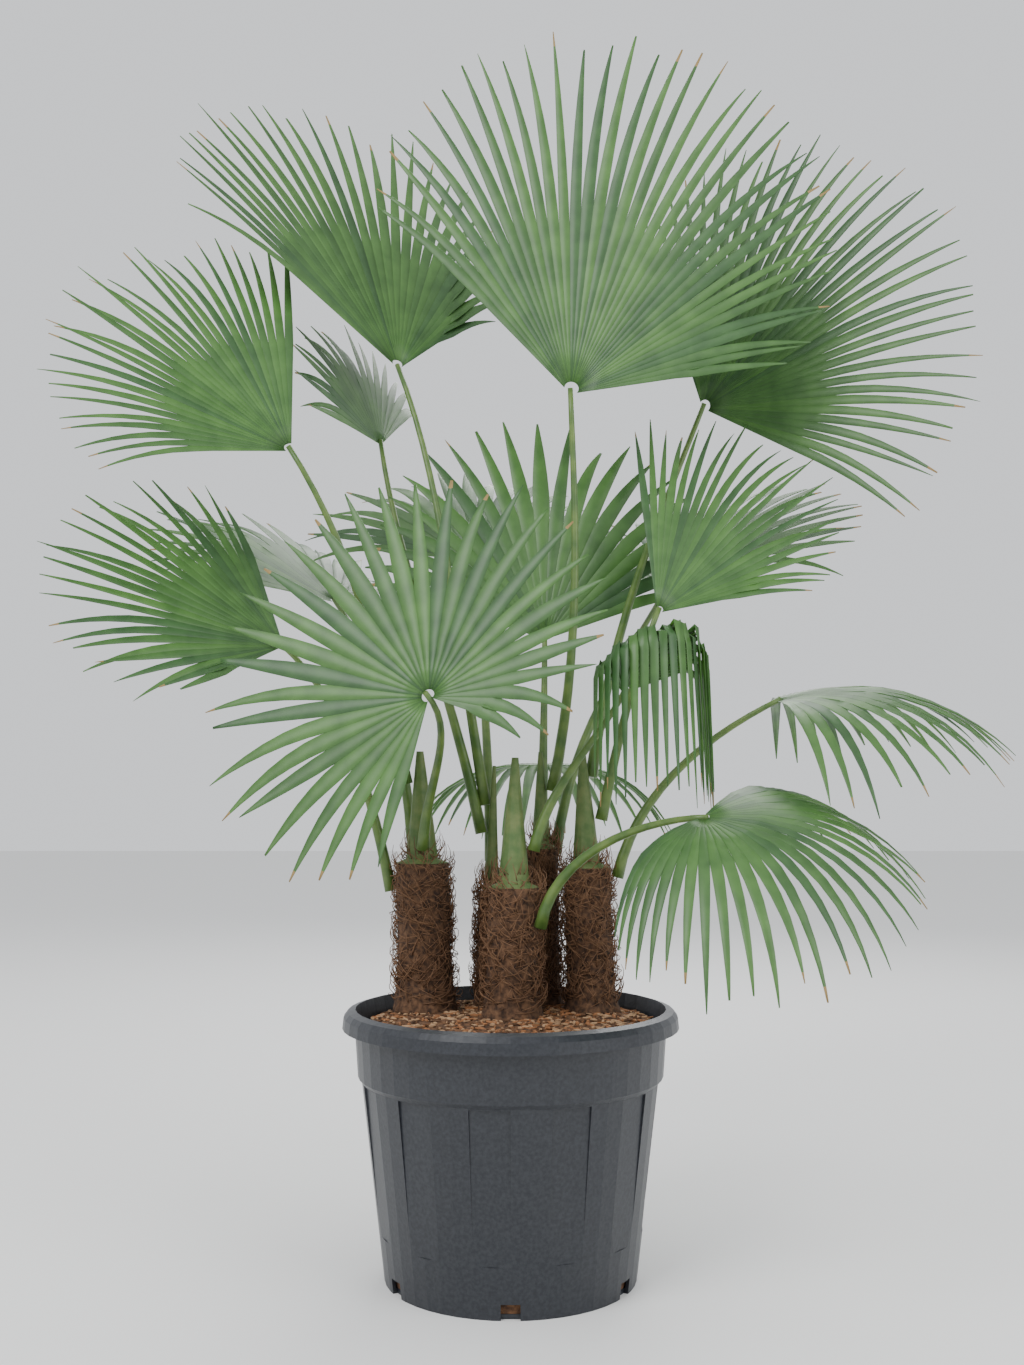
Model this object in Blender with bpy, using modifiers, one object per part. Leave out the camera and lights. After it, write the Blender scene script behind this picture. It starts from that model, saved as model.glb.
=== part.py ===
"""Potted windmill palm: a clump of five fibrous stems with fan fronds in a round nursery pot.

Metres, +Z up. The origin is the middle of the pot's flat underside, X runs to the right
and Y runs to the back of the plant.
"""
import math

import bmesh
import bpy
import numpy as np
from mathutils import Vector
from mathutils.bvhtree import BVHTree

# Gap between neighbouring solids
GAP = 0.0003

# Pot: a 45 litre container
POT_STEPS = 48
RIM_RADIUS = 0.225
RIM_TOP = 0.3515
RIM_INNER_RADIUS = 0.2078
LIP_Z = 0.327
COLLAR_RADIUS = 0.2085
COLLAR_FOOT_RADIUS = 0.2038
COLLAR_FOOT_Z = 0.264
WALL_TOP_RADIUS = 0.1985
WALL_TOP_Z = 0.258
FOOT_RADIUS = 0.167
FLOOR = 0.006
WALL = 0.005
FLUTES = 12
FLUTE_WIDTH = math.radians(15)
FLUTE_DEPTH = 0.0028
FLUTE_FOOT_Z = 0.065
NOTCHES = 6
NOTCH_WIDTH = 0.024
NOTCH_HEIGHT = 0.020

# Soil: the flat middle carries the stems, the edge dips to the wall
SOIL_TOP = 0.340
SOIL_FLAT_RADIUS = 0.178
SOIL_EDGE_Z = 0.331

# Stems: foot on the soil, lean to the top of the brown fibre, then a green tip
STEM_SIDES = 3
STEM_FLARE = 1.22
STEMS = {
    "left": dict(foot=(-0.118, 0.060), top=(-0.124, 0.070), radius=0.038, fibre_top=0.541, tip=0.700),
    "front": dict(foot=(0.002, -0.008), top=(0.004, 0.000), radius=0.036, fibre_top=0.514, tip=0.690),
    "middle": dict(foot=(-0.032, 0.092), top=(-0.028, 0.100), radius=0.018, fibre_top=0.500, tip=0.680),
    "back": dict(foot=(0.046, 0.104), top=(0.044, 0.112), radius=0.024, fibre_top=0.561, tip=0.700),
    "right": dict(foot=(0.112, 0.052), top=(0.106, 0.062), radius=0.033, fibre_top=0.534, tip=0.700),
}

# Fronds: a stalk rises from a stem to the hub, where the leaflets spread like a fan
THICKNESS_OF_REACH = 0.0108
PLEAT = 0.22
STALK_FOOT_RADIUS = 0.0090
STALK_HUB_RADIUS = 0.0048
STALK_POINTS = 6
STALK_RESOLUTION = 0
LINE_STEPS = 24
STEEPEST = math.radians(-87)
CLEARANCE = 0.0012

# Styles of leaflet: share of the reach where it splits off, stations along it as
# (share of the reach, share of the width at the split), and how it bends down
STIFF = dict(split=0.48, stations=((0.76, 0.66),), droop=8, bend=0.5, crease=False)
PLAIN = dict(split=0.55, stations=(), droop=14, bend=0.4, crease=False)
ARCHING = dict(split=0.42, stations=((0.62, 0.80), (0.82, 0.52)), droop=60, bend=0.12, crease=False)
FOLDED = dict(split=0.36, stations=((0.44, 0.86), (0.80, 0.74)), droop=128, bend=0.36, crease=True)

# heading is the compass turn of the fan's middle leaflet (0 right, 90 back), pitch its
# rise, roll turns the fan about it, all in degrees; spread and taper are for the two sides
FRONDS = [
    dict(name="frond_top_middle", stem="back", hub=(0.087, 0.100, 1.217), heading=100, pitch=85,
         roll=-17, reach=0.60, spread=(41, 85), taper=(0.26, 0.48), leaflets=20, foot=0.64),
    dict(name="frond_top_right", stem="right", hub=(0.303, 0.280, 1.243), heading=-21, pitch=61,
         roll=77, reach=0.477, spread=(48, 92), taper=(0.21, 0.20), leaflets=20, foot=0.66),
    dict(name="frond_top_left", stem="middle", hub=(-0.173, 0.220, 1.289), heading=128, pitch=47,
         roll=-5, reach=0.537, spread=(60, 65), taper=(0.24, 0.62), cup=22, leaflets=16, foot=0.62),
    dict(name="frond_left", stem="left", hub=(-0.311, 0.050, 1.121), heading=173, pitch=50,
         roll=-51, reach=0.405, spread=(64, 40), taper=(0.34, -0.11), leaflets=16, foot=0.65),
    dict(name="frond_front", stem="left", hub=(-0.106, -0.100, 0.763), heading=148, pitch=48,
         roll=-70, reach=0.334, spread=(130, 150), taper=(0.34, 0.65), power=3, leaflets=18,
         foot=0.56, lift=55),
    dict(name="frond_left_low", stem="left", hub=(-0.330, 0.120, 0.850), heading=188, pitch=33,
         roll=-53, reach=0.376, spread=(68, 45), taper=(0.51, 0.27), leaflets=14, foot=0.50),
    dict(name="frond_umbrella", stem="front", hub=(0.236, -0.180, 0.609), heading=-47, pitch=-10,
         roll=20, reach=0.30, spread=(105, 105), taper=(-0.20, 0.40), leaflets=16, foot=0.46,
         style=ARCHING),
    dict(name="frond_folded", stem="front", hub=(0.153, -0.020, 0.773), heading=-50, pitch=42,
         roll=0, reach=0.37, spread=(62, 62), taper=(0.20, 0.30), leaflets=12, foot=0.56,
         style=FOLDED),
    dict(name="frond_right", stem="right", hub=(0.206, 0.050, 0.890), heading=47, pitch=55,
         roll=36, reach=0.406, spread=(27, 55), taper=(0.12, 0.45), leaflets=13, foot=0.60),
    dict(name="frond_far_right", stem="right", hub=(0.373, 0.060, 0.766), heading=-4, pitch=14,
         roll=8, reach=0.35, spread=(85, 85), taper=(0.15, 0.20), leaflets=14, foot=0.52,
         style=ARCHING),
    dict(name="frond_middle", stem="back", hub=(0.051, 0.200, 0.867), heading=95, pitch=78,
         roll=0, reach=0.38, spread=(70, 70), taper=(0.25, 0.25), leaflets=12, foot=0.60,
         style=PLAIN),
    dict(name="frond_left_back", stem="middle", hub=(-0.207, 0.300, 1.189), heading=152, pitch=69,
         roll=-1, reach=0.238, spread=(80, 57), taper=(0.29, 0.01), leaflets=10, foot=0.58,
         style=PLAIN),
    dict(name="frond_back_left", stem="left", hub=(-0.280, 0.330, 0.940), heading=140, pitch=35,
         roll=0, reach=0.36, spread=(80, 80), taper=(0.25, 0.25), leaflets=12, foot=0.57,
         style=PLAIN),
    dict(name="frond_back", stem="middle", hub=(-0.060, 0.420, 1.020), heading=95, pitch=40,
         roll=0, reach=0.38, spread=(80, 80), taper=(0.25, 0.25), leaflets=12, foot=0.54,
         style=PLAIN),
    dict(name="frond_back_right", stem="back", hub=(0.260, 0.380, 0.980), heading=50, pitch=38,
         roll=0, reach=0.38, spread=(80, 80), taper=(0.25, 0.25), leaflets=12, foot=0.55,
         style=PLAIN),
    dict(name="frond_back_low", stem="back", hub=(0.050, 0.400, 0.680), heading=88, pitch=5,
         roll=0, reach=0.34, spread=(80, 80), taper=(0.25, 0.25), leaflets=12, foot=0.50,
         style=ARCHING),
]


def clear_scene():
    """Remove every object that the file opened with."""
    for item in list(bpy.data.objects):
        bpy.data.objects.remove(item, do_unlink=True)


def make_collection(name):
    """Add a collection to the scene."""
    collection = bpy.data.collections.new(name)
    bpy.context.scene.collection.children.link(collection)
    return collection


def material(name, colour, roughness, metallic=0.0):
    """Make a plain material."""
    mat = bpy.data.materials.new(name)
    mat.use_nodes = True
    shader = mat.node_tree.nodes["Principled BSDF"]
    shader.inputs["Base Color"].default_value = (*colour, 1.0)
    shader.inputs["Roughness"].default_value = roughness
    shader.inputs["Metallic"].default_value = metallic
    return mat


def add_object(name, mesh, collection, mat=None):
    """Link a mesh as an object."""
    item = bpy.data.objects.new(name, mesh)
    collection.objects.link(item)
    if mat:
        mesh.materials.clear()
        mesh.materials.append(mat)
    return item


def bake(item):
    """Return the object's mesh with its modifiers applied."""
    graph = bpy.context.evaluated_depsgraph_get()
    return bpy.data.meshes.new_from_object(item.evaluated_get(graph))


def apply_modifiers(item):
    """Put the evaluated mesh in place of the object's own."""
    bpy.context.view_layer.update()
    mesh = bake(item)
    item.modifiers.clear()
    item.data = mesh


def turned(name, profile, steps, collection, mat):
    """Turn a profile of (radius, height) about the Z axis."""
    mesh = bpy.data.meshes.new(name)
    points = [(radius, 0.0, height) for radius, height in profile]
    mesh.from_pydata(points, [(i, i + 1) for i in range(len(points) - 1)], [])
    item = add_object(name, mesh, collection, mat)
    screw = item.modifiers.new("turn", "SCREW")
    screw.steps = steps
    screw.render_steps = steps
    screw.use_merge_vertices = True
    screw.merge_threshold = 0.0001
    return item


def tube_mesh(name, points, radii, resolution):
    """Sweep a round section along points; the radius is given at each."""
    data = bpy.data.curves.new(name, "CURVE")
    data.dimensions = "3D"
    data.bevel_depth = 1.0
    data.bevel_resolution = resolution
    data.use_fill_caps = True
    spline = data.splines.new("POLY")
    spline.points.add(len(points) - 1)
    for knot, point, radius in zip(spline.points, points, radii):
        knot.co = (*point, 1.0)
        knot.radius = radius
    item = bpy.data.objects.new(name, data)
    bpy.context.scene.collection.objects.link(item)
    bpy.context.view_layer.update()
    mesh = bake(item)
    bpy.data.objects.remove(item, do_unlink=True)
    welded = bmesh.new()
    welded.from_mesh(mesh)
    bmesh.ops.remove_doubles(welded, verts=welded.verts, dist=0.00002)
    bmesh.ops.recalc_face_normals(welded, faces=welded.faces)
    welded.to_mesh(mesh)
    welded.free()
    return mesh


def mesh_tree(mesh):
    """Make a search tree of a mesh in world space."""
    mesh.calc_loop_triangles()
    corners = [vertex.co.copy() for vertex in mesh.vertices]
    faces = [tuple(triangle.vertices) for triangle in mesh.loop_triangles]
    return BVHTree.FromPolygons(corners, faces)


def wall_radius(height):
    """Radius of the pot's fluted wall at a height."""
    return FOOT_RADIUS + (WALL_TOP_RADIUS - FOOT_RADIUS) * height / WALL_TOP_Z


def inner_radius(height):
    """Radius of the pot's inner wall at a height."""
    return wall_radius(height) - WALL


def pot_profile():
    """Outline of the pot from the middle of its inner floor to that of its underside."""
    lip = RIM_RADIUS - RIM_INNER_RADIUS
    return [
        (0.0, FLOOR),
        (inner_radius(FLOOR), FLOOR),
        (inner_radius(WALL_TOP_Z), WALL_TOP_Z),
        (RIM_INNER_RADIUS - 0.0035, LIP_Z + 0.006),
        (RIM_INNER_RADIUS, RIM_TOP),
        (RIM_INNER_RADIUS + 0.60 * lip, RIM_TOP - 0.003),
        (RIM_RADIUS - 0.0015, RIM_TOP - 0.010),
        (RIM_RADIUS, LIP_Z),
        (RIM_RADIUS - 0.004, LIP_Z),
        (COLLAR_RADIUS, LIP_Z + 0.002),
        (COLLAR_FOOT_RADIUS, COLLAR_FOOT_Z),
        (WALL_TOP_RADIUS, WALL_TOP_Z),
        (FOOT_RADIUS, 0.0),
        (0.0, 0.0),
    ]


def flute_cutter(index, cutters):
    """A wedge that presses one shallow flute into the wall."""
    middle = FLUTE_WIDTH * (2 * index + 1.5) - math.pi / 2
    half = FLUTE_WIDTH / 2
    top = WALL_TOP_Z - 0.001
    rings = ((FLUTE_FOOT_Z, wall_radius(FLUTE_FOOT_Z) + 0.0005), (top, wall_radius(top) - FLUTE_DEPTH))
    shape = bmesh.new()
    corners = []
    for height, inner in rings:
        for radius, turn in ((inner, -half), (inner, half), (inner + 0.012, half), (inner + 0.012, -half)):
            angle = middle + turn
            corners.append(shape.verts.new((radius * math.cos(angle), radius * math.sin(angle), height)))
    bmesh.ops.convex_hull(shape, input=corners)
    mesh = bpy.data.meshes.new("flute_cutter")
    shape.to_mesh(mesh)
    shape.free()
    add_object(f"flute_cutter_{index}", mesh, cutters)


def notch_cutter(index, cutters):
    """A block that opens one drain notch at the foot."""
    angle = math.tau * index / NOTCHES - math.pi / 2
    shape = bmesh.new()
    bmesh.ops.create_cube(shape, size=1.0)
    mesh = bpy.data.meshes.new("notch_cutter")
    shape.to_mesh(mesh)
    shape.free()
    item = add_object(f"notch_cutter_{index}", mesh, cutters)
    item.scale = (0.030, NOTCH_WIDTH, 2 * NOTCH_HEIGHT)
    item.rotation_euler = (0.0, 0.0, angle)
    reach = FOOT_RADIUS + 0.008
    item.location = (reach * math.cos(angle), reach * math.sin(angle), 0.0)


def make_pot(collection, cutters, mat):
    """The nursery pot with its rolled rim, collar, flutes and drain notches."""
    pot = turned("pot", pot_profile(), POT_STEPS, collection, mat)
    for index in range(FLUTES):
        flute_cutter(index, cutters)
    for index in range(NOTCHES):
        notch_cutter(index, cutters)
    for cutter in cutters.objects:
        cutter.hide_render = True
        cutter.display_type = "WIRE"
    cut = pot.modifiers.new("cuts", "BOOLEAN")
    cut.operand_type = "COLLECTION"
    cut.collection = cutters
    cut.operation = "DIFFERENCE"
    cut.solver = "EXACT"
    return pot


def make_soil(collection, mat):
    """The potting soil, a gap clear of the pot and flat where the stems stand."""
    profile = [
        (0.0, SOIL_TOP),
        (SOIL_FLAT_RADIUS, SOIL_TOP),
        (inner_radius(SOIL_EDGE_Z) - GAP * 1.5 - 0.001, SOIL_EDGE_Z),
        (inner_radius(WALL_TOP_Z) - GAP * 1.5, WALL_TOP_Z),
        (inner_radius(FLOOR) - GAP * 1.5, FLOOR + GAP),
        (0.0, FLOOR + GAP),
    ]
    return turned("soil", profile, POT_STEPS, collection, mat)


def stem_axis(stem, height):
    """Middle of a stem at a height."""
    share = (height - SOIL_TOP) / (stem["fibre_top"] - SOIL_TOP)
    share = max(0.0, share)
    foot = stem["foot"]
    top = stem["top"]
    return (foot[0] + (top[0] - foot[0]) * share, foot[1] + (top[1] - foot[1]) * share)


def stem_radius(stem, height):
    """Radius of a stem: a flared foot, a fibrous shaft, then a slim green tip."""
    rise = height - SOIL_TOP
    shaft = stem["radius"]
    if height <= stem["fibre_top"]:
        flare = (STEM_FLARE - 1.0) * math.exp(-rise / 0.022)
        return shaft * (1.0 + flare)
    share = (height - stem["fibre_top"]) / (stem["tip"] - stem["fibre_top"])
    return shaft * (0.62 - 0.50 * share)


def make_stem(name, stem, collection, mat):
    """One stem from its flat foot on the soil to its tip."""
    base = SOIL_TOP + GAP
    fibre = stem["fibre_top"]
    tip = stem["tip"]
    heights = [base, base + 0.012, base + 0.040, (base + fibre) / 2, fibre - 0.012, fibre + 0.001,
               (fibre + tip) / 2, tip]
    points = []
    radii = []
    for height in heights:
        x, y = stem_axis(stem, height)
        points.append((x, y, height))
        radii.append(stem_radius(stem, height))
    points[0] = (points[1][0], points[1][1], base)
    mesh = tube_mesh(name, points, radii, STEM_SIDES)
    return add_object(name, mesh, collection, mat)


class Fan:
    """A frond's blade: lines from the hub, spread to both sides of its middle leaflet."""

    def __init__(self, frond):
        self.hub = np.array(frond["hub"])
        self.reach = frond["reach"]
        self.spread = frond["spread"]
        self.taper = frond.get("taper", (0.25, 0.25))
        self.power = frond.get("power", 2)
        self.cup = math.radians(frond.get("cup", 0))
        self.leaflets = frond["leaflets"]
        self.style = frond.get("style", STIFF)
        self.split = self.style["split"]
        self.lines = {}
        heading = math.radians(frond["heading"])
        pitch = math.radians(frond["pitch"])
        roll = math.radians(frond.get("roll", 0))
        level = np.array([math.cos(heading), math.sin(heading), 0.0])
        upright = np.array([0.0, 0.0, 1.0])
        self.along = math.cos(pitch) * level + math.sin(pitch) * upright
        rising = math.cos(pitch) * upright - math.sin(pitch) * level
        side = np.cross(self.along, rising)
        self.normal = rising * math.cos(roll) + side * math.sin(roll)
        self.across = np.cross(self.along, self.normal)
        self.ridges = np.linspace(-self.spread[0], self.spread[1], self.leaflets + 1)
        self.middles = (self.ridges[1:] + self.ridges[:-1]) / 2

    def length(self, turn):
        """Length of the line at a turn in degrees from the middle leaflet."""
        side = 0 if turn < 0 else 1
        share = abs(turn) / self.spread[side]
        return self.reach * (1.0 - self.taper[side] * share ** self.power)

    def bent(self, share):
        """How far the bend has come, from 0 to 1, at a share of a line's length."""
        bend = self.style["bend"]
        if self.style["crease"]:
            return float(share > bend)
        return min(1.0, max(0.0, (share - bend) / (1.0 - bend)))

    def line(self, turn):
        """Points, upper-face normals and crosswise vectors along one line of the fan."""
        if turn in self.lines:
            return self.lines[turn]
        angle = math.radians(turn)
        flat = math.cos(angle) * self.along + math.sin(angle) * self.across
        ahead = math.cos(self.cup) * flat + math.sin(self.cup) * self.normal
        wide = math.cos(angle) * self.across - math.sin(angle) * self.along
        face = np.cross(wide, ahead)
        if face @ self.normal < 0:
            face = -face
        level = math.hypot(ahead[0], ahead[1])
        outward = np.array([ahead[0], ahead[1], 0.0]) / max(level, 1e-6)
        rise = math.atan2(ahead[2], level)
        step_length = self.length(turn) / LINE_STEPS
        points = [self.hub]
        faces = [face]
        wides = [wide]
        for step in range(LINE_STEPS):
            bent = self.bent((step + 0.5) / LINE_STEPS)
            now = max(rise - math.radians(self.style["droop"]) * bent, STEEPEST)
            new = outward * math.cos(now) + np.array([0.0, 0.0, math.sin(now)])
            turning = np.array(Vector(ahead).rotation_difference(Vector(new)).to_matrix())
            ahead = new
            faces.append(turning @ faces[-1])
            wides.append(turning @ wides[-1])
            points.append(points[-1] + new * step_length)
        self.lines[turn] = (points, faces, wides)
        return self.lines[turn]

    def at(self, turn, share):
        """Point, normal and crosswise vector at a share of a line's length."""
        points, faces, wides = self.line(turn)
        place = share * LINE_STEPS
        low = min(int(place), LINE_STEPS - 1)
        rest = place - low
        nearer = low + round(rest)
        return points[low] * (1 - rest) + points[low + 1] * rest, faces[nearer], wides[nearer]

    def split_width(self, index):
        """Width of a leaflet where it splits off."""
        first = self.at(self.ridges[index], self.split)[0]
        last = self.at(self.ridges[index + 1], self.split)[0]
        return float(np.linalg.norm(last - first))

    def ridge(self, index, share):
        """Point on a ridge between leaflets, raised by the pleat."""
        point, face, _ = self.at(self.ridges[index], share)
        width = self.split_width(max(0, index - 1)) * share / self.split
        return point + face * PLEAT * width / 2

    def valley(self, index, share):
        """Point on a leaflet's middle rib, lowered by the pleat."""
        point, face, _ = self.at(self.middles[index], share)
        width = self.split_width(index) * share / self.split
        return point - face * PLEAT * width / 2

    def rows(self, index, reach_share):
        """Rows of left, middle and right points of one free leaflet, then its tip."""
        turn = self.middles[index]
        width = self.split_width(index)
        rows = []
        for share, narrow in self.style["stations"]:
            place = self.split + (share - self.split) * (reach_share - self.split) / (1.0 - self.split)
            point, face, wide = self.at(turn, place)
            half = wide * width * narrow / 2
            depth = face * PLEAT * width * narrow / 2
            rows.append((point - half + depth, point - depth, point + half + depth))
        return rows, self.at(turn, reach_share)[0]


def fan_surface(fan, shares):
    """Vertices, faces and thickness weights of a fan's pleated sheet."""
    vertices = [fan.hub]
    weights = [1.0]
    faces = []
    for index in range(fan.leaflets + 1):
        vertices.append(fan.ridge(index, fan.split))
        weights.append(fan.length(fan.ridges[index]) / fan.reach)
    for index in range(fan.leaflets):
        weight = fan.length(fan.middles[index]) / fan.reach
        row = (1 + index, len(vertices), 2 + index)
        vertices.append(fan.valley(index, fan.split))
        faces += [(0, row[0], row[1]), (0, row[1], row[2])]
        rows, tip = fan.rows(index, shares[index])
        for points in rows:
            new = tuple(range(len(vertices), len(vertices) + 3))
            vertices += points
            faces += [(row[0], new[0], new[1], row[1]), (row[1], new[1], new[2], row[2])]
            row = new
        faces += [(row[0], len(vertices), row[1]), (row[1], len(vertices), row[2])]
        vertices.append(tip)
        weights += [weight] * (len(vertices) - len(weights))
    return vertices, faces, weights


def leaflet_tree(fan, index, share):
    """Search tree of a shell round one leaflet, a little thicker than the leaflet."""
    middle_face = fan.at(fan.middles[index], fan.split)[1]
    rows, tip = fan.rows(index, share)
    first = (fan.ridge(index, fan.split), fan.valley(index, fan.split), fan.ridge(index + 1, fan.split))
    face_at = [middle_face] + [fan.at(fan.middles[index], place)[1] for place, _ in fan.style["stations"]]
    start = fan.hub + (first[1] - fan.hub) * 0.12
    offset = THICKNESS_OF_REACH * fan.length(fan.middles[index]) / 2 + CLEARANCE
    sheets = []
    for way in (-offset, offset):
        points = [start + middle_face * way]
        for face, row in zip(face_at, [first] + rows):
            points += [corner + face * way for corner in row]
        points.append(tip + face_at[-1] * way)
        sheets.append(points)
    count = len(sheets[0])
    polygons = []
    for base in (0, count):
        polygons += [(base, base + 1, base + 2), (base, base + 2, base + 3)]
        for a in range(base + 1, base + 1 + 3 * len(rows), 3):
            polygons += [(a, a + 3, a + 4, a + 1), (a + 1, a + 4, a + 5, a + 2)]
        a = base + 1 + 3 * len(rows)
        polygons += [(a, base + count - 1, a + 1), (a + 1, base + count - 1, a + 2)]
    for edge in (1, 3):
        chain = [0] + [edge + 3 * level for level in range(len(rows) + 1)] + [count - 1]
        for a, b in zip(chain, chain[1:]):
            polygons.append((a, b, count + b, count + a))
    return BVHTree.FromPolygons([Vector(point) for point in sheets[0] + sheets[1]], polygons)


def leaflet_shares(fan, obstacles):
    """Share of its length that each leaflet keeps, so that it clears what stands near."""
    shares = []
    shortest = fan.split + 0.10
    for index in range(fan.leaflets):
        for share in (1.0, 0.92, 0.84, 0.76, 0.68, 0.60, shortest):
            tree = leaflet_tree(fan, index, max(share, shortest))
            if not any(tree.overlap(other) for other in obstacles):
                break
        shares.append(max(share, shortest))
    return shares


def stalk_path(frond, fan, stem, slide, swing):
    """Points of the stalk from the stem's side to the hub."""
    height = frond["foot"]
    x, y = stem_axis(stem, height)
    outward = math.atan2(fan.hub[1] - y, fan.hub[0] - x) + math.radians(frond.get("turn", 0) + swing)
    direction = np.array([math.cos(outward), math.sin(outward), 0.0])
    away = stem_radius(stem, height) + STALK_FOOT_RADIUS + slide
    start = np.array([x, y, height]) + direction * away
    lift = math.radians(frond.get("lift", 12))
    arrive = math.cos(lift) * fan.along + math.sin(lift) * fan.normal
    span = float(np.linalg.norm(fan.hub - start))
    leave = direction * 0.22 + np.array([0.0, 0.0, 1.0])
    leave /= np.linalg.norm(leave)
    a = start + leave * span * 0.38
    b = fan.hub - arrive * span * 0.30
    end = fan.hub + arrive * 0.008
    points = []
    for step in range(STALK_POINTS):
        t = step / (STALK_POINTS - 1)
        points.append((1 - t) ** 3 * start + 3 * t * (1 - t) ** 2 * a + 3 * t * t * (1 - t) * b
                      + t ** 3 * end)
    return points


def stalk_mesh(name, points, extra=0.0):
    """Tapering tube along a stalk's points."""
    radii = []
    for step in range(STALK_POINTS):
        t = step / (STALK_POINTS - 1)
        radii.append(STALK_FOOT_RADIUS + (STALK_HUB_RADIUS - STALK_FOOT_RADIUS) * t ** 0.6 + extra)
    return tube_mesh(name, points, radii, STALK_RESOLUTION)


def place_stalk(frond, fan, stem, stem_tree, obstacles):
    """Swing the stalk's foot round the stem until it is clear, then slide it to its seat."""
    for swing in (0, 18, -18, 36, -36, 54, -54, 72, -72, 95, -95, 120, -120):
        wide = stalk_mesh("try", stalk_path(frond, fan, stem, 0.0, swing), CLEARANCE)
        tree = mesh_tree(wide)
        clear = not any(tree.overlap(other) for other in obstacles)
        bpy.data.meshes.remove(wide)
        if clear:
            break
    low = -0.004
    high = 0.020
    while high - low > 0.0001:
        slide = (low + high) / 2
        mesh = stalk_mesh("try", stalk_path(frond, fan, stem, slide, swing))
        touching = bool(mesh_tree(mesh).overlap(stem_tree))
        bpy.data.meshes.remove(mesh)
        if touching:
            low = slide
        else:
            high = slide
    return stalk_mesh(frond["name"], stalk_path(frond, fan, stem, high + GAP, swing))


def make_frond(name, fan, shares, stalk, collection, mat):
    """Join a fan to its stalk."""
    vertices, faces, weights = fan_surface(fan, shares)
    mesh = bpy.data.meshes.new(name)
    mesh.from_pydata([tuple(point) for point in vertices], [], faces)
    item = add_object(name, mesh, collection, mat)
    group = item.vertex_groups.new(name="thickness")
    for index, weight in enumerate(weights):
        group.add([index], weight, "REPLACE")
    shell = item.modifiers.new("thickness", "SOLIDIFY")
    shell.thickness = THICKNESS_OF_REACH * fan.reach
    shell.offset = 0.0
    shell.vertex_group = "thickness"
    other = add_object("stalk", stalk, collection)
    join = item.modifiers.new("stalk", "BOOLEAN")
    join.operation = "UNION"
    join.solver = "EXACT"
    join.object = other
    apply_modifiers(item)
    bpy.data.objects.remove(other, do_unlink=True)
    item.data.materials.clear()
    item.data.materials.append(mat)
    return item


def main():
    clear_scene()
    plant = make_collection("potted_windmill_palm")
    cutters = make_collection("cutters")
    plastic = material("pot_plastic", (0.030, 0.034, 0.042), 0.45)
    earth = material("soil", (0.16, 0.075, 0.035), 0.95)
    fibre = material("stem_fibre", (0.13, 0.065, 0.032), 0.90)
    leaf = material("leaf", (0.070, 0.190, 0.022), 0.42)
    pot = make_pot(plant, cutters, plastic)
    soil = make_soil(plant, earth)
    bpy.context.view_layer.update()
    below = [mesh_tree(bake(pot)), mesh_tree(bake(soil))]
    stem_trees = {}
    for name, stem in STEMS.items():
        item = make_stem(f"stem_{name}", stem, plant, fibre)
        stem_trees[name] = mesh_tree(item.data)
    fans = {}
    stalks = {}
    stalk_trees = {}
    for frond in FRONDS:
        name = frond["name"]
        stem = frond["stem"]
        fans[name] = Fan(frond)
        others = below + [tree for key, tree in stem_trees.items() if key != stem]
        others += list(stalk_trees.values())
        stalks[name] = place_stalk(frond, fans[name], STEMS[stem], stem_trees[stem], others)
        stalk_trees[name] = mesh_tree(stalks[name])
    done = []
    for frond in FRONDS:
        name = frond["name"]
        obstacles = below + list(stem_trees.values()) + done
        obstacles += [tree for key, tree in stalk_trees.items() if key != name]
        shares = leaflet_shares(fans[name], obstacles)
        item = make_frond(name, fans[name], shares, stalks[name], plant, leaf)
        done.append(mesh_tree(item.data))


if __name__ == "__main__":
    main()
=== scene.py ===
"""Looks of the potted windmill palm: pleated fan fronds, fibrous stems, bark soil, ribbed pot."""

import math
import random

import bpy
import numpy as np
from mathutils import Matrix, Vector


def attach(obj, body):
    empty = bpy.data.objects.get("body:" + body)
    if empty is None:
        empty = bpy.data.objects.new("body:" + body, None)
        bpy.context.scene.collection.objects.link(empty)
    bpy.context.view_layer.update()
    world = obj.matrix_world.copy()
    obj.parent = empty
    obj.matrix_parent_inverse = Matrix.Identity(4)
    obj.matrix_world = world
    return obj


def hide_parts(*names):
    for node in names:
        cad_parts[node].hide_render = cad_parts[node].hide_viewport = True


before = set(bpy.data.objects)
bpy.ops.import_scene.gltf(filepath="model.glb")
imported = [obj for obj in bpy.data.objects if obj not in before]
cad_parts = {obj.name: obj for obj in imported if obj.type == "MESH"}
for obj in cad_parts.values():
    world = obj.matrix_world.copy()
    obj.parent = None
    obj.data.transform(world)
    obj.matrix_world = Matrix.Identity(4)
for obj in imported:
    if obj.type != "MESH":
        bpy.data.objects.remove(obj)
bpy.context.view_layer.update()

# The photo's camera
CAMERA_PLACE = (0.0017, -1.964, 0.651)
CAMERA_TILT = math.radians(94.0)
LENS = 38.0
SENSOR = 36.0
FLOOR_HALF = 12.0

# Soil: its top falls a little towards the pot's wall
SOIL_TOP = 0.340
SOIL_RADIUS = 0.196
SOIL_FALL = 0.010
SOIL_FOOT_RADIUS = 0.160
SOIL_FOOT = 0.0065
SOIL_RINGS = 26
SOIL_SIDES = 96
CHIPS = 1500
SOIL_LIFTS = (-0.003, 0.002)
SOIL_RIM_LIFT = -0.002
CHIP_SPREAD = 0.97
CHIP_LENGTHS = (0.004, 0.015)
CHIP_TILTS = (-0.25, 0.25)
CHIP_LIFT = 0.001
CHIP_THICKNESSES = (0.0010, 0.0026)
CHIP_SIDES = 5

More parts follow.
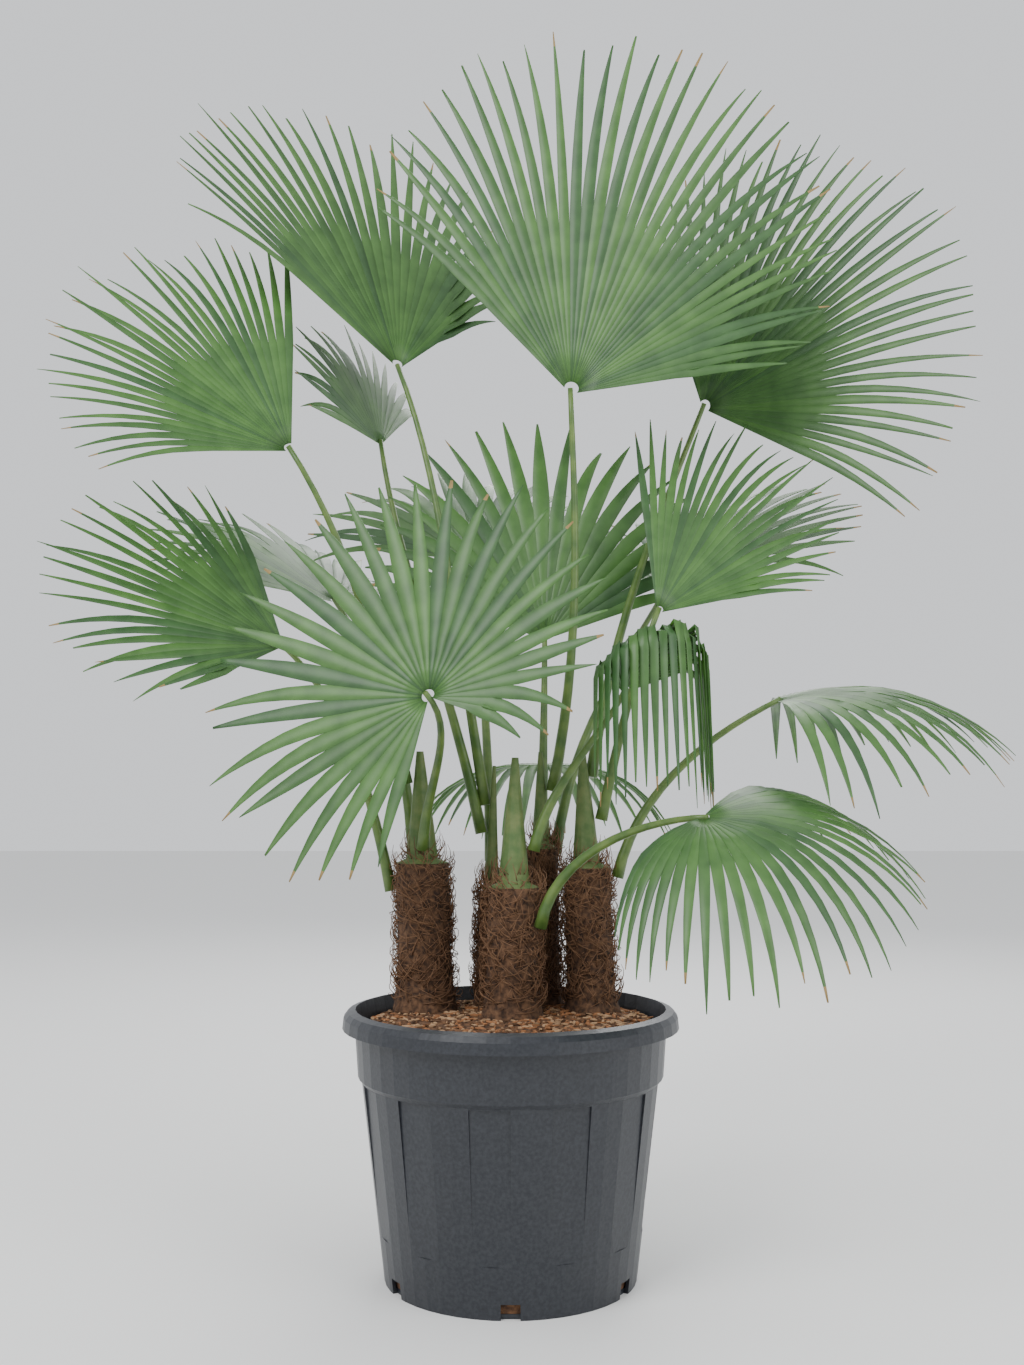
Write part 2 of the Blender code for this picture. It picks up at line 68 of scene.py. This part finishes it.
# Stems: foot on the soil, lean to the top of the brown fibre, then a green tip
STEM_FLARE = 1.22
FLARE_HEIGHT = 0.022
STEM_SIDES = 48
STEM_LEVELS = 60
STEM_SUNK = 0.004
RELIEF_WAVES = 6
RELIEF_MIDDLE = 0.965
RELIEF_DEPTH = 0.012
GREEN_WIDTH = 0.62
GREEN_TAPER = 0.50

# Loose fibre hairs: each winds a little round its stem and stands off it
HAIRS = 900
HAIR_RADII = (0.0007, 0.0007, 0.0006, 0.0005, 0.0003)
HAIR_SIDES = 3
HAIR_LOWEST = 0.010
HAIR_PAST_FIBRE = 0.015
HAIR_TURNS = (-0.9, 0.9)
HAIR_RISES = (-0.012, 0.035)
HAIR_STANDS = (0.001, 0.012)
HAIR_ROOT = 0.97
HAIR_CURVE = 2.4
HAIR_WRAP = 0.9
STEMS = {
    "left": dict(foot=(-0.118, 0.060), top=(-0.124, 0.070), radius=0.038, fibre_top=0.541, tip=0.700),
    "front": dict(foot=(0.002, -0.008), top=(0.004, 0.000), radius=0.036, fibre_top=0.514, tip=0.690),
    "middle": dict(foot=(-0.032, 0.092), top=(-0.028, 0.100), radius=0.018, fibre_top=0.500, tip=0.680),
    "back": dict(foot=(0.046, 0.104), top=(0.044, 0.112), radius=0.024, fibre_top=0.561, tip=0.700),
    "right": dict(foot=(0.112, 0.052), top=(0.106, 0.062), radius=0.033, fibre_top=0.534, tip=0.700),
}

# Fronds: a stalk rises from a stem to the hub, where the leaflets spread like a fan
PLEAT = 0.22
STALK_FOOT_RADIUS = 0.0090
STALK_HUB_RADIUS = 0.0048
STALK_POINTS = 14
STALK_SIDES = 10
STALK_TAPER_POWER = 0.6
STALK_HUB_SHARE = 0.8
STALK_LIFT = 12
LEAVE_OUTWARD = 0.22
LEAVE_PULL = 0.38
ARRIVE_PULL = 0.30
INTO_BLADE = 0.008
LINE_STEPS = 24
STEEPEST = math.radians(-87)
BLADE_THICKNESS = 0.0007
LEAFLETS_PER_SOLID_ONE = 1.8
JOINED_SHARES = (0.03, 0.12, 0.24, 0.36)
FREE_SHARES = (0.16, 0.34, 0.52, 0.68, 0.82, 0.92, 1.0)
SPLIT_DRAW = (0.88, 1.06)
END_DRAW = (0.95, 1.0)
SAG_DRAW = (-0.01, 0.035)
ROW_GAP = 0.05
WIDTH_POWER = 2.2
WIDTH_FALL = 0.25
TIP_WIDTH = 0.015
BROWN_TIPS = 0.35
SHADE_DRAW = (0, 0, 1, 1, 2)
TIP_SHADE = 3
SHADES = 4

# Turn in degrees of a stalk's foot round its stem, where it gives way to a neighbour
SWINGS = {"frond_left_back": 36}

# Styles of leaflet: share of the reach where it splits off, and how it bends down
STIFF = dict(split=0.48, droop=8, bend=0.5, crease=False)
PLAIN = dict(split=0.55, droop=14, bend=0.4, crease=False)
ARCHING = dict(split=0.42, droop=60, bend=0.12, crease=False)
FOLDED = dict(split=0.36, droop=128, bend=0.36, crease=True)

# heading is the compass turn of the fan's middle leaflet (0 right, 90 back), pitch its
# rise, roll turns the fan about it, all in degrees; spread and taper are for the two sides
FRONDS = [
    dict(name="frond_top_middle", stem="back", hub=(0.087, 0.100, 1.217), heading=100, pitch=85,
         roll=-17, reach=0.60, spread=(41, 85), taper=(0.26, 0.48), leaflets=20, foot=0.64),
    dict(name="frond_top_right", stem="right", hub=(0.303, 0.280, 1.243), heading=-21, pitch=61,
         roll=77, reach=0.477, spread=(48, 92), taper=(0.21, 0.20), leaflets=20, foot=0.66),
    dict(name="frond_top_left", stem="middle", hub=(-0.173, 0.220, 1.289), heading=128, pitch=47,
         roll=-5, reach=0.537, spread=(60, 65), taper=(0.24, 0.62), cup=22, leaflets=16, foot=0.62),
    dict(name="frond_left", stem="left", hub=(-0.311, 0.050, 1.121), heading=173, pitch=50,
         roll=-51, reach=0.405, spread=(64, 40), taper=(0.34, -0.11), leaflets=16, foot=0.65),
    dict(name="frond_front", stem="left", hub=(-0.106, -0.100, 0.763), heading=148, pitch=48,
         roll=-70, reach=0.334, spread=(130, 150), taper=(0.34, 0.65), power=3, leaflets=18,
         foot=0.56, lift=55),
    dict(name="frond_left_low", stem="left", hub=(-0.330, 0.120, 0.850), heading=188, pitch=33,
         roll=-53, reach=0.376, spread=(68, 45), taper=(0.51, 0.27), leaflets=14, foot=0.50),
    dict(name="frond_umbrella", stem="front", hub=(0.236, -0.180, 0.609), heading=-47, pitch=-10,
         roll=20, reach=0.30, spread=(105, 105), taper=(-0.20, 0.40), leaflets=16, foot=0.46,
         style=ARCHING),
    dict(name="frond_folded", stem="front", hub=(0.153, -0.020, 0.773), heading=-50, pitch=42,
         roll=0, reach=0.37, spread=(62, 62), taper=(0.20, 0.30), leaflets=12, foot=0.56,
         style=FOLDED),
    dict(name="frond_right", stem="right", hub=(0.206, 0.050, 0.890), heading=47, pitch=55,
         roll=36, reach=0.406, spread=(27, 55), taper=(0.12, 0.45), leaflets=13, foot=0.60),
    dict(name="frond_far_right", stem="right", hub=(0.373, 0.060, 0.766), heading=-4, pitch=14,
         roll=8, reach=0.35, spread=(85, 85), taper=(0.15, 0.20), leaflets=14, foot=0.52,
         style=ARCHING),
    dict(name="frond_middle", stem="back", hub=(0.051, 0.200, 0.867), heading=95, pitch=78,
         roll=0, reach=0.38, spread=(70, 70), taper=(0.25, 0.25), leaflets=12, foot=0.60,
         style=PLAIN),
    dict(name="frond_left_back", stem="middle", hub=(-0.207, 0.300, 1.189), heading=152, pitch=69,
         roll=-1, reach=0.238, spread=(80, 57), taper=(0.29, 0.01), leaflets=10, foot=0.58,
         style=PLAIN),
    dict(name="frond_back_left", stem="left", hub=(-0.280, 0.330, 0.940), heading=140, pitch=35,
         roll=0, reach=0.36, spread=(80, 80), taper=(0.25, 0.25), leaflets=12, foot=0.57,
         style=PLAIN),
    dict(name="frond_back", stem="middle", hub=(-0.060, 0.420, 1.020), heading=95, pitch=40,
         roll=0, reach=0.38, spread=(80, 80), taper=(0.25, 0.25), leaflets=12, foot=0.54,
         style=PLAIN),
    dict(name="frond_back_right", stem="back", hub=(0.260, 0.380, 0.980), heading=50, pitch=38,
         roll=0, reach=0.38, spread=(80, 80), taper=(0.25, 0.25), leaflets=12, foot=0.55,
         style=PLAIN),
    dict(name="frond_back_low", stem="back", hub=(0.050, 0.400, 0.680), heading=88, pitch=5,
         roll=0, reach=0.34, spread=(80, 80), taper=(0.25, 0.25), leaflets=12, foot=0.50,
         style=ARCHING),
]


class Fan:
    """A frond's blade: lines from the hub, spread to both sides of its middle leaflet."""

    def __init__(self, frond):
        self.hub = np.array(frond["hub"])
        self.reach = frond["reach"]
        self.spread = frond["spread"]
        self.taper = frond.get("taper", (0.25, 0.25))
        self.power = frond.get("power", 2)
        self.cup = math.radians(frond.get("cup", 0))
        self.leaflets = frond["leaflets"]
        self.style = frond.get("style", STIFF)
        self.split = self.style["split"]
        self.lines = {}
        heading = math.radians(frond["heading"])
        pitch = math.radians(frond["pitch"])
        roll = math.radians(frond.get("roll", 0))
        level = np.array([math.cos(heading), math.sin(heading), 0.0])
        upright = np.array([0.0, 0.0, 1.0])
        self.along = math.cos(pitch) * level + math.sin(pitch) * upright
        rising = math.cos(pitch) * upright - math.sin(pitch) * level
        side = np.cross(self.along, rising)
        self.normal = rising * math.cos(roll) + side * math.sin(roll)
        self.across = np.cross(self.along, self.normal)

    def length(self, turn):
        """Length of the line at a turn in degrees from the middle leaflet."""
        side = 0 if turn < 0 else 1
        share = abs(turn) / self.spread[side]
        return self.reach * (1.0 - self.taper[side] * share ** self.power)

    def bent(self, share):
        """How far the bend has come, from 0 to 1, at a share of a line's length."""
        bend = self.style["bend"]
        if self.style["crease"]:
            return float(share > bend)
        return min(1.0, max(0.0, (share - bend) / (1.0 - bend)))

    def line(self, turn):
        """Points, upper-face normals and crosswise vectors along one line of the fan."""
        if turn in self.lines:
            return self.lines[turn]
        angle = math.radians(turn)
        flat = math.cos(angle) * self.along + math.sin(angle) * self.across
        ahead = math.cos(self.cup) * flat + math.sin(self.cup) * self.normal
        wide = math.cos(angle) * self.across - math.sin(angle) * self.along
        face = np.cross(wide, ahead)
        if face @ self.normal < 0:
            face = -face
        level = math.hypot(ahead[0], ahead[1])
        outward = np.array([ahead[0], ahead[1], 0.0]) / max(level, 1e-6)
        rise = math.atan2(ahead[2], level)
        step_length = self.length(turn) / LINE_STEPS
        points = [self.hub]
        faces = [face]
        wides = [wide]
        for step in range(LINE_STEPS):
            bent = self.bent((step + 0.5) / LINE_STEPS)
            now = max(rise - math.radians(self.style["droop"]) * bent, STEEPEST)
            new = outward * math.cos(now) + np.array([0.0, 0.0, math.sin(now)])
            turning = np.array(Vector(ahead).rotation_difference(Vector(new)).to_matrix())
            ahead = new
            faces.append(turning @ faces[-1])
            wides.append(turning @ wides[-1])
            points.append(points[-1] + new * step_length)
        self.lines[turn] = (points, faces, wides)
        return self.lines[turn]

    def at(self, turn, share):
        """Point, normal and crosswise vector at a share of a line's length."""
        points, faces, wides = self.line(turn)
        place = share * LINE_STEPS
        low = min(int(place), LINE_STEPS - 1)
        rest = place - low
        nearer = low + round(rest)
        return points[low] * (1 - rest) + points[low + 1] * rest, faces[nearer], wides[nearer]


def stem_axis(stem, height):
    """Middle of a stem at a height."""
    share = (height - SOIL_TOP) / (stem["fibre_top"] - SOIL_TOP)
    share = max(0.0, share)
    foot = stem["foot"]
    top = stem["top"]
    return (foot[0] + (top[0] - foot[0]) * share, foot[1] + (top[1] - foot[1]) * share)


def stem_radius(stem, height):
    """Radius of a stem: a flared foot, a fibrous shaft, then a slim green tip."""
    rise = height - SOIL_TOP
    shaft = stem["radius"]
    if height <= stem["fibre_top"]:
        flare = (STEM_FLARE - 1.0) * math.exp(-rise / FLARE_HEIGHT)
        return shaft * (1.0 + flare)
    share = (height - stem["fibre_top"]) / (stem["tip"] - stem["fibre_top"])
    return shaft * (GREEN_WIDTH - GREEN_TAPER * share)


def stalk_path(frond, fan, stem, swing):
    """Points of the stalk from the stem's side to the hub."""
    height = frond["foot"]
    x, y = stem_axis(stem, height)
    outward = math.atan2(fan.hub[1] - y, fan.hub[0] - x) + math.radians(swing)
    direction = np.array([math.cos(outward), math.sin(outward), 0.0])
    away = stem_radius(stem, height) + STALK_FOOT_RADIUS
    start = np.array([x, y, height]) + direction * away
    lift = math.radians(frond.get("lift", STALK_LIFT))
    arrive = math.cos(lift) * fan.along + math.sin(lift) * fan.normal
    span = float(np.linalg.norm(fan.hub - start))
    leave = direction * LEAVE_OUTWARD + np.array([0.0, 0.0, 1.0])
    leave /= np.linalg.norm(leave)
    a = start + leave * span * LEAVE_PULL
    b = fan.hub - arrive * span * ARRIVE_PULL
    end = fan.hub + arrive * INTO_BLADE
    points = []
    for step in range(STALK_POINTS):
        t = step / (STALK_POINTS - 1)
        points.append((1 - t) ** 3 * start + 3 * t * (1 - t) ** 2 * a + 3 * t * t * (1 - t) * b
                      + t ** 3 * end)
    return points


def plain(name, colour, roughness):
    """Principled material of one colour."""
    mat = bpy.data.materials.new(name)
    mat.use_nodes = True
    shader = mat.node_tree.nodes["Principled BSDF"]
    shader.inputs["Base Color"].default_value = (*colour, 1.0)
    shader.inputs["Roughness"].default_value = roughness
    return mat


def grained(name, dark, light, roughness, scale, bump):
    """Material whose colour wanders between two shades, with a fine bump."""
    mat = plain(name, dark, roughness)
    nodes = mat.node_tree.nodes
    links = mat.node_tree.links
    shader = nodes["Principled BSDF"]
    place = nodes.new("ShaderNodeTexCoord")
    noise = nodes.new("ShaderNodeTexNoise")
    noise.inputs["Scale"].default_value = scale
    noise.inputs["Detail"].default_value = 6.0
    ramp = nodes.new("ShaderNodeValToRGB")
    ramp.color_ramp.elements[0].position = 0.35
    ramp.color_ramp.elements[0].color = (*dark, 1.0)
    ramp.color_ramp.elements[1].position = 0.68
    ramp.color_ramp.elements[1].color = (*light, 1.0)
    relief = nodes.new("ShaderNodeBump")
    relief.inputs["Strength"].default_value = bump
    relief.inputs["Distance"].default_value = 0.002
    links.new(place.outputs["Object"], noise.inputs["Vector"])
    links.new(noise.outputs["Fac"], ramp.inputs["Fac"])
    links.new(ramp.outputs["Color"], shader.inputs["Base Color"])
    links.new(noise.outputs["Fac"], relief.inputs["Height"])
    links.new(relief.outputs["Normal"], shader.inputs["Normal"])
    return mat


def add_piece(name, vertices, faces, mats, indices=None, smooth=True):
    """Link a mesh that rides on the part's one body."""
    mesh = bpy.data.meshes.new(name)
    mesh.from_pydata([tuple(map(float, v)) for v in vertices], [], faces)
    for mat in mats:
        mesh.materials.append(mat)
    if indices:
        mesh.polygons.foreach_set("material_index", indices)
    mesh.polygons.foreach_set("use_smooth", [smooth] * len(mesh.polygons))
    mesh.update()
    item = bpy.data.objects.new(name, mesh)
    bpy.context.scene.collection.objects.link(item)
    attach(item, "root")
    return item


def tube(points, radii, sides, vertices, faces):
    """Add a closed tapering tube to lists of vertices and faces."""
    points = [np.array(point, dtype=float) for point in points]
    base = len(vertices)
    first = points[1] - points[0]
    side = np.cross(first, (0.0, 0.0, 1.0))
    if np.linalg.norm(side) < 1e-6:
        side = np.array((1.0, 0.0, 0.0))
    for place, (point, radius) in enumerate(zip(points, radii)):
        ahead = points[min(place + 1, len(points) - 1)] - points[max(place - 1, 0)]
        ahead = ahead / np.linalg.norm(ahead)
        side = side - ahead * (side @ ahead)
        side = side / np.linalg.norm(side)
        up = np.cross(ahead, side)
        for step in range(sides):
            angle = math.tau * step / sides
            vertices.append(point + radius * (math.cos(angle) * side + math.sin(angle) * up))
    for row in range(len(points) - 1):
        for step in range(sides):
            a = base + row * sides + step
            b = base + row * sides + (step + 1) % sides
            faces.append((a, b, b + sides, a + sides))
    faces.append(tuple(base + step for step in reversed(range(sides))))
    faces.append(tuple(base + (len(points) - 1) * sides + step for step in range(sides)))


def leaflet_width(share, split):
    """Width of a free leaflet as a share of its width at the split."""
    along = (share - split) / (1.0 - split)
    return max(0.0, (1.0 - along ** WIDTH_POWER)) * (1.0 - WIDTH_FALL * along) + TIP_WIDTH


def make_frond(frond, mats, dice):
    """A pleated blade cut into narrow leaflets; returns its fan."""
    fan = Fan(frond)
    count = int(fan.leaflets * LEAFLETS_PER_SOLID_ONE)
    edges = np.linspace(-fan.spread[0], fan.spread[1], count + 1)
    vertices = []
    faces = []
    indices = []
    for index in range(count):
        left, right = edges[index], edges[index + 1]
        middle = (left + right) / 2
        split = fan.split * dice.uniform(*SPLIT_DRAW)
        end = dice.uniform(*END_DRAW)
        sag = dice.uniform(*SAG_DRAW)
        shade = dice.choice(SHADE_DRAW)
        rows = [share for share in JOINED_SHARES if share < split - ROW_GAP] + [split]
        free = [split + (end - split) * part for part in FREE_SHARES]
        width = float(np.linalg.norm(fan.at(right, split)[0] - fan.at(left, split)[0]))
        base = len(vertices)
        total = rows + free
        for share in total:
            centre, face, wide = fan.at(middle, share)
            if share <= split:
                a, b = fan.at(left, share)[0], fan.at(right, share)[0]
                fold = width * share / split * PLEAT
            else:
                half = wide * width * leaflet_width(share, split) / 2
                a, b = centre - half, centre + half
                fold = float(np.linalg.norm(b - a)) * PLEAT
                drop = np.array((0.0, 0.0, -sag * ((share - split) / (1.0 - split)) ** 2))
                a, b, centre = a + drop, b + drop, centre + drop
            vertices += [a + face * fold / 2, centre - face * fold / 2, b + face * fold / 2]
        for row in range(len(total) - 1):
            a = base + 3 * row
            tip = row >= len(total) - 2 and dice.random() < BROWN_TIPS
            faces += [(a, a + 3, a + 4, a + 1), (a + 1, a + 4, a + 5, a + 2)]
            indices += [TIP_SHADE if tip else shade] * 2
    blade = add_piece(frond["name"] + "_blade", vertices, faces, mats, indices)
    shell = blade.modifiers.new("thickness", "SOLIDIFY")
    shell.thickness = BLADE_THICKNESS
    shell.offset = 0.0
    shell.material_offset = SHADES
    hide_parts(frond["name"])
    return fan


def make_stalks(fans, mat):
    """All the stalks as one piece."""
    vertices = []
    faces = []
    for frond in FRONDS:
        fan = fans[frond["name"]]
        points = stalk_path(frond, fan, STEMS[frond["stem"]], SWINGS.get(frond["name"], 0))
        radii = [STALK_FOOT_RADIUS + (STALK_HUB_RADIUS * STALK_HUB_SHARE - STALK_FOOT_RADIUS)
                 * (step / (STALK_POINTS - 1)) ** STALK_TAPER_POWER for step in range(STALK_POINTS)]
        tube(points, radii, STALK_SIDES, vertices, faces)
    item = add_piece("stalks", vertices, faces, [mat])


def make_trunk(name, stem, bark, green, dice):
    """A fibrous stem with wandering relief."""
    vertices = []
    faces = []
    phases = [dice.uniform(0, math.tau) for _ in range(RELIEF_WAVES)]
    for level in range(STEM_LEVELS + 1):
        height = SOIL_TOP - STEM_SUNK + (stem["tip"] - SOIL_TOP) * level / STEM_LEVELS
        x, y = stem_axis(stem, height)
        radius = stem_radius(stem, max(height, SOIL_TOP))
        for side in range(STEM_SIDES):
            angle = math.tau * side / STEM_SIDES
            relief = sum(math.sin(angle * (5 + 3 * k) + phases[k] + height * (90 - 30 * k))
                         for k in range(RELIEF_WAVES))
            reach = radius * (RELIEF_MIDDLE + RELIEF_DEPTH * relief)
            vertices.append((x + reach * math.cos(angle), y + reach * math.sin(angle), height))
    for level in range(STEM_LEVELS):
        for side in range(STEM_SIDES):
            a = level * STEM_SIDES + side
            b = level * STEM_SIDES + (side + 1) % STEM_SIDES
            faces.append((a, b, b + STEM_SIDES, a + STEM_SIDES))
    faces.append(tuple(reversed(range(STEM_SIDES))))
    faces.append(tuple(STEM_LEVELS * STEM_SIDES + side for side in range(STEM_SIDES)))
    green_from = (stem["fibre_top"] - SOIL_TOP) / (stem["tip"] - SOIL_TOP) * STEM_LEVELS
    indices = [1 if face[0] // STEM_SIDES > green_from else 0 for face in faces]
    trunk = add_piece(name, vertices, faces, [bark, green], indices)
    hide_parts(name)


def make_hairs(name, stem, hair, dice):
    """Loose fibre hairs round a stem."""
    vertices = []
    faces = []
    for _ in range(HAIRS):
        height = dice.uniform(SOIL_TOP + HAIR_LOWEST, stem["fibre_top"] + HAIR_PAST_FIBRE)
        angle = dice.uniform(0, math.tau)
        x, y = stem_axis(stem, height)
        radius = stem_radius(stem, height)
        turn = dice.uniform(*HAIR_TURNS)
        rise = dice.uniform(*HAIR_RISES)
        stand = dice.uniform(*HAIR_STANDS)
        points = []
        for step in range(len(HAIR_RADII)):
            t = step / (len(HAIR_RADII) - 1)
            reach = radius * HAIR_ROOT + stand * math.sin(t * HAIR_CURVE)
            a = angle + turn * t * HAIR_WRAP
            points.append((x + reach * math.cos(a), y + reach * math.sin(a), height + rise * t))
        tube(points, HAIR_RADII, HAIR_SIDES, vertices, faces)
    hairs = add_piece(name + "_hairs", vertices, faces, [hair])


def make_soil_bed(mat, dice):
    """Soil with a rough top, down to the pot's floor."""
    vertices = []
    faces = []
    for ring in range(SOIL_RINGS + 1):
        radius = SOIL_RADIUS * ring / SOIL_RINGS
        for side in range(SOIL_SIDES):
            angle = math.tau * side / SOIL_SIDES
            drop = SOIL_FALL * (ring / SOIL_RINGS) ** 4
            lift = dice.uniform(*SOIL_LIFTS) if 0 < ring < SOIL_RINGS else SOIL_RIM_LIFT
            height = SOIL_TOP - drop + lift
            vertices.append((radius * math.cos(angle), radius * math.sin(angle), height))
    for ring in range(SOIL_RINGS):
        for side in range(SOIL_SIDES):
            a = ring * SOIL_SIDES + side
            b = ring * SOIL_SIDES + (side + 1) % SOIL_SIDES
            below = (b + SOIL_SIDES, a + SOIL_SIDES)
            faces.append((a, b) + below if ring else (a + SOIL_SIDES, b, b + SOIL_SIDES))
    deep = len(vertices)
    for side in range(SOIL_SIDES):
        angle = math.tau * side / SOIL_SIDES
        x = SOIL_FOOT_RADIUS * math.cos(angle)
        y = SOIL_FOOT_RADIUS * math.sin(angle)
        vertices.append((x, y, SOIL_FOOT))
    for side in range(SOIL_SIDES):
        a = SOIL_RINGS * SOIL_SIDES + side
        b = SOIL_RINGS * SOIL_SIDES + (side + 1) % SOIL_SIDES
        faces.append((a, b, deep + (side + 1) % SOIL_SIDES, deep + side))
    faces.append(tuple(deep + side for side in reversed(range(SOIL_SIDES))))
    soil = add_piece("soil_bed", vertices, faces, [mat], smooth=False)
    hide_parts("soil")


def make_soil_chips(mats, dice):
    """Loose chips of bark on the soil."""
    vertices = []
    faces = []
    indices = []
    for _ in range(CHIPS):
        radius = SOIL_RADIUS * CHIP_SPREAD * math.sqrt(dice.random())
        angle = dice.uniform(0, math.tau)
        length = dice.uniform(*CHIP_LENGTHS)
        points = []
        heading = dice.uniform(0, math.tau)
        tilt = dice.uniform(*CHIP_TILTS)
        height = SOIL_TOP - SOIL_FALL * (radius / SOIL_RADIUS) ** 4 + CHIP_LIFT
        for step in (-0.5, 0.0, 0.5):
            points.append((radius * math.cos(angle) + length * step * math.cos(heading),
                           radius * math.sin(angle) + length * step * math.sin(heading),
                           height + length * step * tilt))
        thick = dice.uniform(*CHIP_THICKNESSES)
        before = len(faces)
        tube(points, [thick * 0.6, thick, thick * 0.5], CHIP_SIDES, vertices, faces)
        indices += [dice.randrange(len(mats))] * (len(faces) - before)
    chips = add_piece("soil_chips", vertices, faces, mats, indices, smooth=False)


def area_light(name, place, size, power, target):
    """A soft studio light."""
    data = bpy.data.lights.new(name, "AREA")
    data.size = size
    data.energy = power
    item = bpy.data.objects.new(name, data)
    item.location = place
    item.rotation_euler = (Vector(target) - Vector(place)).to_track_quat("-Z", "Y").to_euler()
    bpy.context.scene.collection.objects.link(item)


def make_stage():
    """Pale floor, soft light and the photo's camera."""
    mesh = bpy.data.meshes.new("floor")
    half = FLOOR_HALF
    mesh.from_pydata([(-half, -half, 0), (half, -half, 0), (half, half, 0), (-half, half, 0)], [],
                     [(0, 1, 2, 3)])
    mesh.materials.append(plain("floor_pale", (0.80, 0.80, 0.79), 0.9))
    floor = bpy.data.objects.new("floor", mesh)
    bpy.context.scene.collection.objects.link(floor)
    world = bpy.data.worlds.new("studio")
    world.use_nodes = True
    world.node_tree.nodes["Background"].inputs["Color"].default_value = (0.95, 0.97, 1.0, 1.0)
    world.node_tree.nodes["Background"].inputs["Strength"].default_value = 1.0
    bpy.context.scene.world = world
    area_light("key", (-2.2, -2.6, 3.4), 2.2, 130, (0, 0, 0.9))
    area_light("fill", (2.6, -1.8, 2.0), 2.4, 55, (0, 0, 0.8))
    area_light("rim", (0.6, 2.8, 3.0), 2.0, 70, (0, 0, 1.0))
    data = bpy.data.cameras.new("camera")
    data.lens = LENS
    data.sensor_width = SENSOR
    camera = bpy.data.objects.new("camera", data)
    camera.location = CAMERA_PLACE
    camera.rotation_euler = (CAMERA_TILT, 0.0, 0.0)
    bpy.context.scene.collection.objects.link(camera)
    bpy.context.scene.camera = camera


def main():
    dice = random.Random(7)
    make_stage()
    pot_mat = grained("pot_plastic_satin", (0.010, 0.012, 0.017), (0.022, 0.025, 0.031), 0.40, 220.0, 0.12)
    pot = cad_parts["pot"]
    pot.data.materials.clear()
    pot.data.materials.append(pot_mat)
    tops = [grained("leaf_a", (0.022, 0.085, 0.010), (0.045, 0.140, 0.014), 0.34, 30.0, 0.10),
            grained("leaf_b", (0.032, 0.110, 0.011), (0.060, 0.175, 0.018), 0.34, 30.0, 0.10),
            grained("leaf_c", (0.016, 0.065, 0.012), (0.034, 0.110, 0.016), 0.36, 30.0, 0.10),
            plain("leaf_tip", (0.26, 0.17, 0.055), 0.6)]
    unders = [grained("under_a", (0.036, 0.100, 0.022), (0.060, 0.150, 0.034), 0.45, 30.0, 0.08),
              grained("under_b", (0.046, 0.125, 0.024), (0.074, 0.180, 0.038), 0.45, 30.0, 0.08),
              grained("under_c", (0.028, 0.082, 0.022), (0.048, 0.125, 0.034), 0.45, 30.0, 0.08),
              plain("under_tip", (0.28, 0.19, 0.07), 0.7)]
    fans = {}
    for frond in FRONDS:
        fans[frond["name"]] = make_frond(frond, tops + unders, dice)
    stalk = grained("stalk_green", (0.050, 0.110, 0.020), (0.120, 0.190, 0.040), 0.42, 40.0, 0.10)
    make_stalks(fans, stalk)
    bark = grained("stem_bark", (0.028, 0.013, 0.007), (0.150, 0.075, 0.036), 0.92, 140.0, 0.9)
    green = grained("stem_green", (0.060, 0.120, 0.025), (0.130, 0.170, 0.050), 0.55, 60.0, 0.2)
    hair = plain("stem_hair", (0.17, 0.085, 0.040), 0.85)
    for name, stem in STEMS.items():
        make_trunk("stem_" + name, stem, bark, green, dice)
        make_hairs("stem_" + name, stem, hair, dice)
    chips = [grained("soil_dark", (0.050, 0.024, 0.012), (0.170, 0.080, 0.035), 0.95, 120.0, 0.8),
             plain("chip_red", (0.27, 0.115, 0.045), 0.9),
             plain("chip_pale", (0.36, 0.22, 0.12), 0.9)]
    make_soil_bed(chips[0], dice)
    make_soil_chips(chips, dice)


main()
